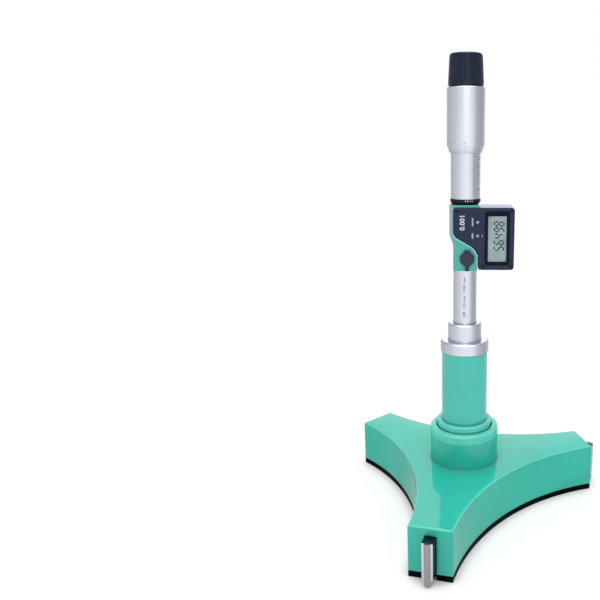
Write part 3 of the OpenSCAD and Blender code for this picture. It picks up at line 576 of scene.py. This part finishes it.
def strips(bm, along, step=0.3):
    """Cuts a shape across X (along 0) or Y (along 1) every step, so that it can follow a round surface."""
    at = [v.co[along] for v in bm.verts]
    normal = Vector((1, 0, 0) if along == 0 else (0, 1, 0))
    for k in range(1, int((max(at) - min(at)) / step) + 1):
        spot = normal * (min(at) + k * step)
        everything = bm.verts[:] + bm.edges[:] + bm.faces[:]
        bmesh.ops.bisect_plane(bm, geom=everything, plane_co=spot, plane_no=normal)
    return bm


def bar(bm, x0, y0, x1, y1, steps=1):
    """Adds a rectangle, split into steps along X."""
    xs = [x0 + (x1 - x0) * k / steps for k in range(steps + 1)]
    low = [bm.verts.new((x, y0, 0)) for x in xs]
    high = [bm.verts.new((x, y1, 0)) for x in xs]
    for k in range(steps):
        bm.faces.new((low[k], low[k + 1], high[k + 1], high[k]))


def disc(bm, x0, radius, sides):
    """Adds a round dot at x0 on the X axis."""
    angles = [2 * math.pi * k / sides for k in range(sides)]
    bm.faces.new([bm.verts.new((x0 + radius * math.cos(a), radius * math.sin(a), 0)) for a in angles])


def arc(x0, y0, radius, first, last, steps):
    """Points on an arc between two angles in degrees, each as x, y and the direction from the centre."""
    for k in range(steps + 1):
        a = math.radians(first + (last - first) * k / steps)
        yield x0 + radius * math.cos(a), y0 + radius * math.sin(a), math.cos(a), math.sin(a)


def place(bm, where):
    """Moves every point of a flat shape to where(x, y), which gives millimetres in the model's frame."""
    for v in bm.verts:
        v.co = Vector(where(v.co.x, v.co.y)) * MM
    return bm


def join(parts):
    out = bmesh.new()
    for bm in parts:
        me = bpy.data.meshes.new("part")
        bm.to_mesh(me)
        bm.free()
        out.from_mesh(me)
        bpy.data.meshes.remove(me)
    return out


def on_panel(x0, z0, y):
    """On a front face, reading bottom to top with the letters' tops to the left."""
    return lambda x, t: (x0 - t, y, z0 + x)


def on_cylinder(radius, angle, z0, upright=True):
    """Round a cylinder about the handle axis. Angle 0 faces the front and grows towards the right."""
    def where(x, t):
        a = math.radians(angle) + (x if upright else -t) / radius
        return (radius * math.sin(a), -radius * math.cos(a), z0 + (t if upright else x))
    return where


def on_bevel(angle):
    """Up the thimble's bevel from its lower edge: t is measured along the slope."""
    slope = math.atan2(THIMBLE_R - BEVEL_LOW_R, BEVEL_L)

    def where(x, t):
        r = BEVEL_LOW_R + t * math.sin(slope) + FINE_LIFT * math.cos(slope)
        a = math.radians(angle) + x / r
        z = THIMBLE_FOOT + t * math.cos(slope) - FINE_LIFT * math.sin(slope)
        return (r * math.sin(a), -r * math.cos(a), z)
    return where


# Display

SEGMENTS = {"4": "fgbc", "5": "afgcd", "6": "afgedc", "8": "abcdefg", "9": "abcdfg"}
READING, POINT_AFTER = "56498", 2
READING_AT, READING_START = (22.7, 203.6), -10.4
DIGIT_W, DIGIT_H, DIGIT_PITCH, DIGIT_LEAN = 3.45, 7.3, 4.2, 0.1
STROKE = 0.94
STROKE_GAP = 0.16 * STROKE
POINT_SIZE, POINT_BACK = 0.6, 0.78
UNIT_SIZE, UNIT_AT = 1.7, (17.4, 211.8)
PANE_CORNER_R, PANE_CORNER_STEPS = 2.0, 6


def digit(bm, figure, x0):
    """One seven-segment figure with pointed segments, from x0 to the right and centred on the X axis."""
    w, half, t, g = DIGIT_W, DIGIT_H / 2, STROKE, STROKE_GAP
    across = [(t / 2 + g, 0), (t + g, t / 2), (w - t - g, t / 2),
              (w - t / 2 - g, 0), (w - t - g, -t / 2), (t + g, -t / 2)]
    upward = [(0, t / 2 + g), (t / 2, t + g), (t / 2, half - t - g),
              (0, half - t / 2 - g), (-t / 2, half - t - g), (-t / 2, t + g)]
    spots = {
        "a": (across, 0, half - t / 2), "g": (across, 0, 0), "d": (across, 0, t / 2 - half),
        "f": (upward, t / 2, -t / 4), "b": (upward, w - t / 2, -t / 4),
        "e": (upward, t / 2, t / 4 - half), "c": (upward, w - t / 2, t / 4 - half),
    }
    for segment in SEGMENTS[figure]:
        outline, dx, dy = spots[segment]
        bm.faces.new([bm.verts.new((x0 + x + dx + DIGIT_LEAN * (y + dy), y + dy, 0)) for x, y in outline])


def reading(bm):
    for k, figure in enumerate(READING):
        digit(bm, figure, READING_START + k * DIGIT_PITCH)
    point = READING_START + POINT_AFTER * DIGIT_PITCH - POINT_BACK
    low = -DIGIT_H / 2
    bar(bm, point - POINT_SIZE / 2, low, point + POINT_SIZE / 2, low + POINT_SIZE)


def pane_border(bm):
    """The dark print round the window, with rounded outer corners."""
    x0, z0, x1, z1 = PANE
    r, n = PANE_CORNER_R, PANE_CORNER_STEPS
    centres = ((x1 - r, z1 - r), (x0 + r, z1 - r), (x0 + r, z0 + r), (x1 - r, z0 + r))
    ring = []
    for c, (cx, cz) in enumerate(centres):
        corner = arc(cx, cz, r, 90 * c, 90 * (c + 1), n)
        ring.append([bm.verts.new((x, z, 0)) for x, z, _, _ in corner])
    a0, b0, a1, b1 = WINDOW
    inner = [bm.verts.new((x, z, 0)) for x, z in ((a1, b1), (a0, b1), (a0, b0), (a1, b0))]
    for c in range(4):
        following = (c + 1) % 4
        for k in range(n):
            bm.faces.new((ring[c][k], ring[c][k + 1], inner[c]))
        bm.faces.new((ring[c][n], ring[following][0], inner[following], inner[c]))


lcd_print_y = LCD_Y - PRINT_LIFT
digits = place(shape(reading), on_panel(*READING_AT, lcd_print_y))
add_piece("lcd_digits", digits, LCD_INK, "frame")
unit = place(text_shape("mm", UNIT_SIZE), on_panel(*UNIT_AT, lcd_print_y))
add_piece("lcd_unit", unit, LCD_INK, "frame")
border = place(shape(pane_border), lambda x, z: (x, PANE_Y - FINE_LIFT, z))
add_piece("pane_border", border, PANE_PRINT, "frame")


# Raised lip of the housing beside the panel's curved edge, in green painted pale as a highlight

LIP_OUT, LIP_R, LIP_SINK, LIP_SIDES = 0.7, 0.5, 0.05, 6

# The panel's edge: two arcs (centre x and z, radius, first and last angle, steps) and its lowest point
UPPER_ARC = (-2.2, 207.0, 6, 205, 240, 8)
LOWER_ARC = (-2.2, 187.37, 11, 60, 0, 24)
EDGE_FOOT = (8.8, 181.5)


def lip_path():
    """Points (x, z) along the lip, each with the direction away from the panel."""
    edge = list(arc(*UPPER_ARC))
    edge += [(x, z, -dx, -dz) for x, z, dx, dz in arc(*LOWER_ARC)]
    edge.append((*EDGE_FOOT, -1, 0))
    return [(x + LIP_OUT * dx, z + LIP_OUT * dz, dx, dz) for x, z, dx, dz in edge]


def housing_lip(bm):
    """A half-round bead along the path, with closed ends."""
    foot_y = HOUSING_Y + LIP_SINK
    rows = []
    for x, z, dx, dz in lip_path():
        bead = arc(0, 0, LIP_R, 0, 180, LIP_SIDES)
        rows.append([bm.verts.new((x + dx * out, foot_y - rise, z + dz * out)) for out, rise, _, _ in bead])
    for a, b in zip(rows, rows[1:]):
        for k in range(LIP_SIDES):
            bm.faces.new((a[k], a[k + 1], b[k + 1], b[k])).smooth = True
    bm.faces.new(rows[0])
    bm.faces.new(rows[-1])
    bmesh.ops.recalc_face_normals(bm, faces=bm.faces)
    bmesh.ops.scale(bm, vec=(MM, MM, MM), verts=bm.verts)


add_piece("housing_lip", shape(housing_lip), LIP_HIGHLIGHT_GREEN, "frame")


# Panel and buttons

RESOLUTION_AT, RESOLUTION_SIZE, RESOLUTION_SPACING, RESOLUTION_BOLD = (-2.0, 212.7), 4.6, 1.05, 0.1
LABEL_X, LABEL_SIZE, LABEL_BOLD = 4.9, 1.5, 0.04
SECOND_LABEL_X, SECOND_LABEL_SIZE = 11.4, 1.1
BUTTON_DOT_R, BUTTON_DOT_SIDES = 0.8, 24


def button_face(node_name):
    """The middle of a button's front face, in millimetres."""
    low, high = box_mm(node_name)
    return (low[0] + high[0]) / 2, low[1], (low[2] + high[2]) / 2


def panel_labels():
    """The resolution, a word beside each button and a smaller word on the other side of the lower one."""
    y = PANEL_Y - PRINT_LIFT
    on_off_z, zero_z = button_face("on_off_button")[2], button_face("zero_button")[2]
    resolution = text_shape("0.001", RESOLUTION_SIZE, RESOLUTION_SPACING, RESOLUTION_BOLD)
    return join([
        place(resolution, on_panel(*RESOLUTION_AT, y)),
        place(text_shape("ON/OFF", LABEL_SIZE, bold=LABEL_BOLD), on_panel(LABEL_X, on_off_z, y)),
        place(text_shape("ZERO", LABEL_SIZE, bold=LABEL_BOLD), on_panel(LABEL_X, zero_z, y)),
        place(text_shape("SET", SECOND_LABEL_SIZE), on_panel(SECOND_LABEL_X, zero_z, y)),
    ])


add_piece("panel_labels", panel_labels(), INK_WHITE, "frame")
# A painted glint on each button: a pale blue disc on its face
for body in ("on_off", "zero"):
    x0, y0, z0 = button_face(body + "_button")
    dot = shape(lambda bm: disc(bm, 0, BUTTON_DOT_R, BUTTON_DOT_SIDES))
    place(dot, lambda x, t: (x0 + x, y0 - PRINT_LIFT, z0 + t))
    add_piece(body + "_painted_glint", dot, GLINT_BLUE, body)


# Stem

STEM_WORDS = "200 - 225 mm   0.001 mm"
STEM_WORDS_SIZE, STEM_WORDS_SPACING, STEM_WORDS_BOLD = 2.5, 1.08, 0.03
STEM_WORDS_ANGLE, STEM_WORDS_Z = -3, 160

stem_words = strips(text_shape(STEM_WORDS, STEM_WORDS_SIZE, STEM_WORDS_SPACING, STEM_WORDS_BOLD), 1)
place(stem_words, on_cylinder(STEM_R + PRINT_LIFT, STEM_WORDS_ANGLE, STEM_WORDS_Z, upright=False))
add_piece("stem_range", stem_words, INK_GREY, "frame")


# Sleeve: one line along the axis with a mark for each millimetre, and a figure for each five

SCALE_ANGLE, FIGURE_ANGLE = 32, 59
SCALE_L, SCALE_START, FIGURE_STEP = 43, 200, 5
LINE_W, MARK_W, MARK_STEPS = 0.18, 0.2, 4
SHORT_MARK, LONG_MARK = 1.5, 2.6
SLEEVE_FIGURE_SIZE = 2.0


def sleeve_lines(bm):
    bar(bm, -LINE_W / 2, 0, LINE_W / 2, SCALE_L)
    for z in range(SCALE_L + 1):
        reach = LONG_MARK if z % FIGURE_STEP == 0 else SHORT_MARK
        bar(bm, 0, z - MARK_W / 2, reach, z + MARK_W / 2, MARK_STEPS)


scale_top = THIMBLE_FOOT + TRAVEL_BACK
sleeve_r = SLEEVE_R + FINE_LIFT
sleeve_marks = [place(shape(sleeve_lines), on_cylinder(sleeve_r, SCALE_ANGLE, scale_top - SCALE_L))]
for down in range(0, SCALE_L, FIGURE_STEP):
    figure = strips(text_shape(str(SCALE_START + down), SLEEVE_FIGURE_SIZE), 0)
    sleeve_marks.append(place(figure, on_cylinder(sleeve_r, FIGURE_ANGLE, scale_top - down)))
add_piece("sleeve_scale", join(sleeve_marks), INK_PALE, "frame")


# Thimble: fifty marks on the bevel, and a figure above each fifth one

DIVISIONS = 50
DIVISION_ANGLE = 360 / DIVISIONS
BEVEL_MARK_W, BEVEL_MARK_START, BEVEL_SHORT, BEVEL_LONG = 0.14, 0.25, 2.3, 3.4
THIMBLE_FIGURE_SIZE, THIMBLE_FIGURE_RISE = 1.7, 1.4

thimble_marks = []
for k in range(DIVISIONS):
    end = BEVEL_LONG if k % FIGURE_STEP == 0 else BEVEL_SHORT
    line = shape(lambda bm: bar(bm, -BEVEL_MARK_W / 2, BEVEL_MARK_START, BEVEL_MARK_W / 2, end))
    thimble_marks.append(place(line, on_bevel(SCALE_ANGLE + DIVISION_ANGLE * k)))
for k in range(0, DIVISIONS, FIGURE_STEP):
    figure = strips(text_shape(str(k), THIMBLE_FIGURE_SIZE), 0)
    height = THIMBLE_FOOT + BEVEL_L + THIMBLE_FIGURE_RISE
    spot = on_cylinder(THIMBLE_R + FINE_LIFT, SCALE_ANGLE + DIVISION_ANGLE * k, height)
    thimble_marks.append(place(figure, spot))
add_piece("thimble_scale", join(thimble_marks), INK_PALE, "thimble")


# Index ring: a short line with one dot to its left and two to its right

INDEX_ANGLE, INDEX_DROP = 8, 1.0
INDEX_LINE_W, INDEX_LINE_H = 0.5, 1.4
INDEX_DOTS, INDEX_DOT_R, INDEX_DOT_SIDES = (-1.6, 1.7, 3.2), 0.36, 12


def index_marks(bm):
    bar(bm, -INDEX_LINE_W / 2, -INDEX_LINE_H / 2, INDEX_LINE_W / 2, INDEX_LINE_H / 2)
    for x in INDEX_DOTS:
        disc(bm, x, INDEX_DOT_R, INDEX_DOT_SIDES)


marks = place(shape(index_marks), on_cylinder(INDEX_R + FINE_LIFT, INDEX_ANGLE, INDEX_TOP - INDEX_DROP))
add_piece("index_marks", marks, INK_WHITE, "frame")


# Room, floor, lamp and camera, in metres

# Brightness of the room from left (0) to right (1), and from the horizon (0) to straight up (1)
SIDE_LEVELS = [(0.0, 0.65), (0.10, 0.74), (0.22, 0.90), (0.5, 0.97),
               (0.72, 0.98), (0.84, 0.94), (0.94, 0.57), (1.0, 0.46)]
HEIGHT_LEVELS = [(0.0, 0.96), (0.3, 0.80), (0.55, 0.5), (0.72, 0.55),
                 (0.84, 0.9), (0.92, 1.4), (0.95, 4.4), (1.0, 4.8)]
HEIGHT_TOP = 5.0

# In reflections the room dims past the object, as painted shade, and turns white behind it, by a direction's
# share along +Y
PAST, PAST_DIM = (0.0, 0.4), 0.22
BEHIND, BEHIND_GAIN = (0.87, 0.975), 1.3
ROOM_SOFT, FLOOR_SOFT = 0.02, 0.01
FLOOR_SIZE = 4.0
# Reaches of the painted shadow on the paper: of its darkening, and of the fading of its white glow
FLOOR_CORNER, FLOOR_OPEN = 0.010, 0.012
FLOOR_WHITE_SHARE = 0.6
FLOOR_MIRROR = 0.95
# Painted shade in the floor's reflection: at the level nearer than the first reach, full beyond the second
FLOOR_CLOSE, FLOOR_CLOSE_LEVEL = (0.13, 0.19), 0.62


def flat_length(tree, x, y, soft):
    """The length of (x, y), with soft added to its square so that it is never 0."""
    squares = calc(tree, "ADD", calc(tree, "MULTIPLY", x, x), calc(tree, "MULTIPLY_ADD", y, y, soft))
    return calc(tree, "SQRT", squares)


def side_light(tree, x, y):
    """A direction's grey, dimmer past the object in reflections, and its share of the white behind it."""
    grey = grey_ramp(tree, calc(tree, "MULTIPLY_ADD", x, 0.5, 0.5), SIDE_LEVELS)
    glossy = node(tree, "ShaderNodeLightPath").outputs["Is Glossy Ray"]
    # Painted shade: reflections dim in directions past the object
    dim = calc(tree, "MULTIPLY", between(tree, y, *PAST, 0.0, PAST_DIM), glossy)
    grey = calc(tree, "MULTIPLY", grey, calc(tree, "SUBTRACT", 1.0, dim))
    return grey, between(tree, y, *BEHIND)


def floor_material():
    """White paper with a soft shadow, deepened near the object by painted shadow. Reflections of it show the
    room's greys, with painted shade near the object.
    """
    m, tree = material("floor_white", (0.95, 0.95, 0.95), rough=0.7, Specular_IOR_Level=0.1)
    tint(tree, noise(tree, 3, 2), (0.94, 0.94, 0.94), (0.96, 0.96, 0.96))
    gloss(tree, noise(tree, 3, 2), 0.66, 0.74)
    # Painted shadow: the paper darkens where the object stands close over it
    grime(tree, FLOOR_CORNER, (0.03, 0.03, 0.03))
    path = node(tree, "ShaderNodeLightPath").outputs
    # Painted shadow: the white glow fades where things stand close over the paper
    bare = calc(tree, "MULTIPLY", openness(tree, FLOOR_OPEN), FLOOR_WHITE_SHARE)
    white = node(tree, "ShaderNodeEmission", Strength=1.0)
    seen = calc(tree, "MULTIPLY", path["Is Camera Ray"], bare)
    paper = mix_shader(tree, seen, tree.nodes["Principled BSDF"], white)
    x, y, _ = world_point(tree)
    reach = flat_length(tree, x, y, FLOOR_SOFT)
    grey, behind = side_light(tree, calc(tree, "DIVIDE", x, reach), calc(tree, "DIVIDE", y, reach))
    # Painted shade in reflections: the floor's reflected grey darkens near the object
    close = between(tree, reach, *FLOOR_CLOSE, FLOOR_CLOSE_LEVEL, 1.0)
    wide = mix_colour(tree, behind, grey, (1.0, 1.0, 1.0))
    room = mix_colour(tree, close, (0.0, 0.0, 0.0), wide)
    mirrored = node(tree, "ShaderNodeEmission", Strength=FLOOR_MIRROR, Color=room)
    show(tree, mix_shader(tree, path["Is Glossy Ray"], paper, mirrored))
    m.cycles.emission_sampling = "NONE"
    return m


def make_floor():
    bm = bmesh.new()
    bmesh.ops.create_grid(bm, x_segments=2, y_segments=2, size=FLOOR_SIZE)
    floor = add_mesh("floor", bm, floor_material())


def make_world():
    """Soft white room with a bright ceiling, greyer at both sides so that round metal keeps its edges."""
    world = bpy.data.worlds.new("studio")
    bpy.context.scene.world = world
    world.use_nodes = True
    tree = world.node_tree
    tree.nodes.clear()
    direction = node(tree, "ShaderNodeTexCoord").outputs["Generated"]
    x, y, z = node(tree, "ShaderNodeSeparateXYZ", Vector=direction).outputs
    grey, behind = side_light(tree, x, calc(tree, "DIVIDE", y, flat_length(tree, x, y, ROOM_SOFT)))
    height = grey_ramp(tree, z, HEIGHT_LEVELS, HEIGHT_TOP)
    path = node(tree, "ShaderNodeLightPath").outputs
    seen = calc(tree, "MAXIMUM", path["Is Camera Ray"], path["Is Transmission Ray"])
    white = calc(tree, "MAXIMUM", seen, calc(tree, "MULTIPLY", behind, path["Is Glossy Ray"]))
    lit = calc(tree, "MULTIPLY", calc(tree, "MULTIPLY", grey, height), HEIGHT_TOP)
    screen = calc(tree, "MULTIPLY_ADD", path["Is Glossy Ray"], BEHIND_GAIN - 1, 1.0)
    back = node(tree, "ShaderNodeBackground", Color=mix_colour(tree, white, lit, screen))
    node(tree, "ShaderNodeOutputWorld", Surface=back.outputs["Background"])


KEY_AT, KEY_AIM, KEY_SIZE, KEY_POWER = (0.1, -1.7, 0.9), (0, 0, 0.10), (1.2, 1.0), 3.0


def make_key_lamp():
    data = bpy.data.lights.new("key", "AREA")
    data.shape = "RECTANGLE"
    data.size, data.size_y = KEY_SIZE
    data.energy = KEY_POWER
    lamp = bpy.data.objects.new("key", data)
    bpy.context.scene.collection.objects.link(lamp)
    lamp.location = KEY_AT
    lamp.rotation_euler = (Vector(KEY_AIM) - Vector(KEY_AT)).to_track_quat("-Z", "Y").to_euler()


# The camera that was fitted to the photo, with its focal length and its axis's column in the photo's pixels
PHOTO_SIZE, FOCAL_PX, AXIS_COLUMN = 600, 669.3, 446
CAMERA_AT = Vector((-0.00415, -0.46006, 0.272))
YAW, PITCH, ROLL = math.radians(1.1435), math.radians(14.133), math.radians(-0.09)


def make_camera():
    right = Vector((math.cos(YAW), math.sin(YAW), 0))
    flat = Vector((-math.sin(YAW), math.cos(YAW), 0))
    ahead = flat * math.cos(PITCH) - Vector((0, 0, math.sin(PITCH)))
    up = flat * math.sin(PITCH) + Vector((0, 0, math.cos(PITCH)))
    x = right * math.cos(ROLL) + up * math.sin(ROLL)
    y = up * math.cos(ROLL) - right * math.sin(ROLL)
    data = bpy.data.cameras.new("camera")
    data.sensor_width = 36.0
    data.lens = FOCAL_PX / PHOTO_SIZE * data.sensor_width
    data.shift_x = (PHOTO_SIZE / 2 - AXIS_COLUMN) / PHOTO_SIZE
    data.clip_start, data.clip_end = 0.01, 50
    camera = bpy.data.objects.new("camera", data)
    bpy.context.scene.collection.objects.link(camera)
    turn = Matrix((x, y, -ahead)).transposed().to_4x4()
    camera.matrix_world = Matrix.Translation(CAMERA_AT) @ turn
    bpy.context.scene.camera = camera


make_floor()
make_world()
make_key_lamp()
make_camera()
bpy.context.scene.view_settings.view_transform = "Standard"

bpy.context.view_layer.update()
